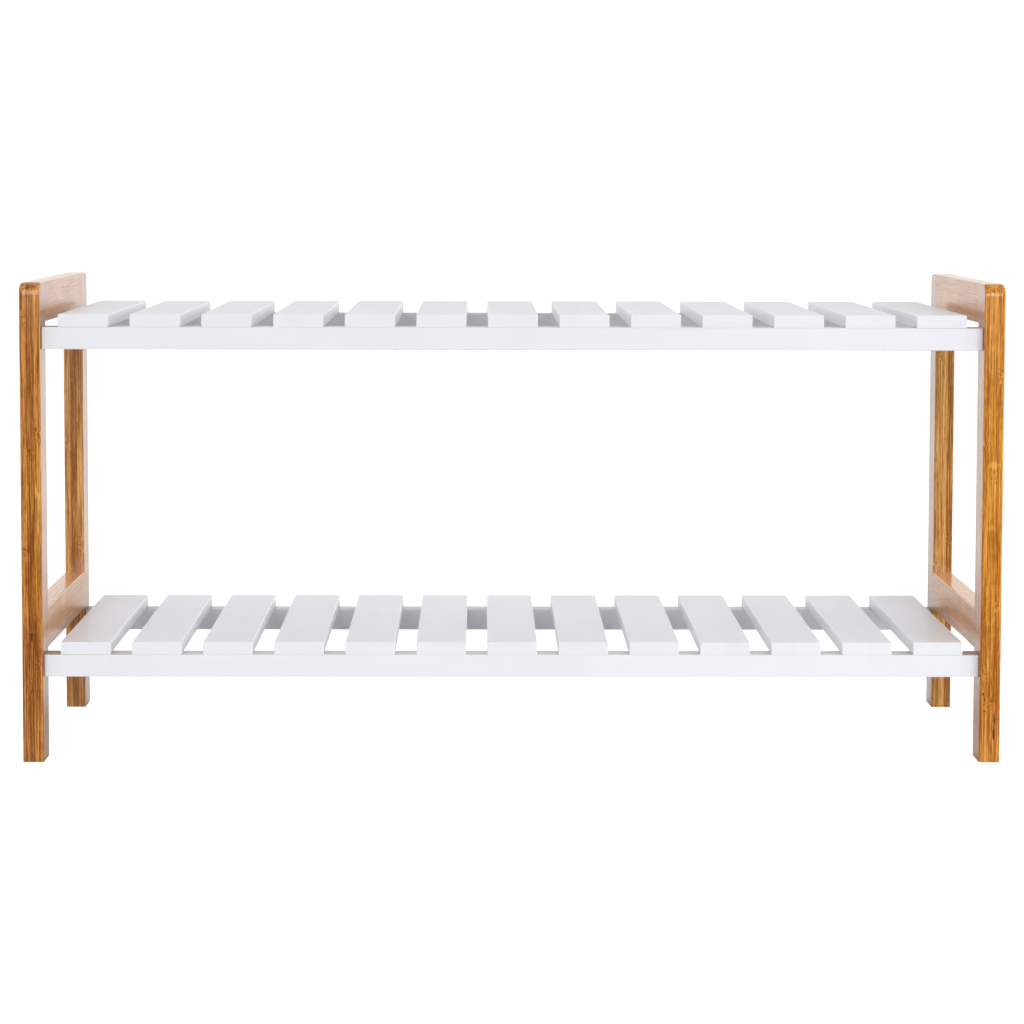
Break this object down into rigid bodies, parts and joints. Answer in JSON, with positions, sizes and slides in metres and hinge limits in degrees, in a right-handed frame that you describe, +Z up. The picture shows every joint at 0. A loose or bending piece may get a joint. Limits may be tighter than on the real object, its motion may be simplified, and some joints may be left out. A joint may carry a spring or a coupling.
{
  "type": "entryway bench",
  "caption": "Low two-tier entryway bench and shoe rack: bamboo side frames with rounded top corners carry two white slatted shelves, the upper one a seat.",
  "frame": {"origin": "on the floor plane, under the middle of the bench", "axes": "+X to the right along the length as seen from the front, the front faces -Y, +Z up"},
  "size_m": [0.7, 0.27, 0.343],
  "materials": {
    "bamboo": "carbonised laminated bamboo under satin clear lacquer",
    "white_paint": "solid slats and rails, sprayed in white satin lacquer",
    "dowel_wood": "fluted beech dowel, unfinished",
    "zinc_steel": "bright zinc plated steel"
  },
  "bodies": {
    "root": {"left_front_leg": "bamboo", "left_rear_leg": "bamboo", "left_top_side_rail": "bamboo", "left_lower_side_rail": "bamboo", "left_frame_dowels": "dowel_wood", "right_front_leg": "bamboo", "right_rear_leg": "bamboo", "right_top_side_rail": "bamboo", "right_lower_side_rail": "bamboo", "right_frame_dowels": "dowel_wood", "upper_shelf_front_rail": "white_paint", "upper_shelf_front_slat_screws": "zinc_steel", "upper_shelf_rear_rail": "white_paint", "upper_shelf_rear_slat_screws": "zinc_steel", "lower_shelf_front_rail": "white_paint", "lower_shelf_front_slat_screws": "zinc_steel", "lower_shelf_rear_rail": "white_paint", "lower_shelf_rear_slat_screws": "zinc_steel", "upper_slat_01": "white_paint", "upper_slat_02": "white_paint", "upper_slat_03": "white_paint", "upper_slat_04": "white_paint", "upper_slat_05": "white_paint", "upper_slat_06": "white_paint", "upper_slat_07": "white_paint", "upper_slat_08": "white_paint", "upper_slat_09": "white_paint", "upper_slat_10": "white_paint", "upper_slat_11": "white_paint", "upper_slat_12": "white_paint", "upper_slat_13": "white_paint", "lower_slat_01": "white_paint", "lower_slat_02": "white_paint", "lower_slat_03": "white_paint", "lower_slat_04": "white_paint", "lower_slat_05": "white_paint", "lower_slat_06": "white_paint", "lower_slat_07": "white_paint", "lower_slat_08": "white_paint", "lower_slat_09": "white_paint", "lower_slat_10": "white_paint", "lower_slat_11": "white_paint", "lower_slat_12": "white_paint", "lower_slat_13": "white_paint", "shelf_bolts": "zinc_steel", "shelf_bolt_nuts": "zinc_steel"}
  },
  "joints": []
}
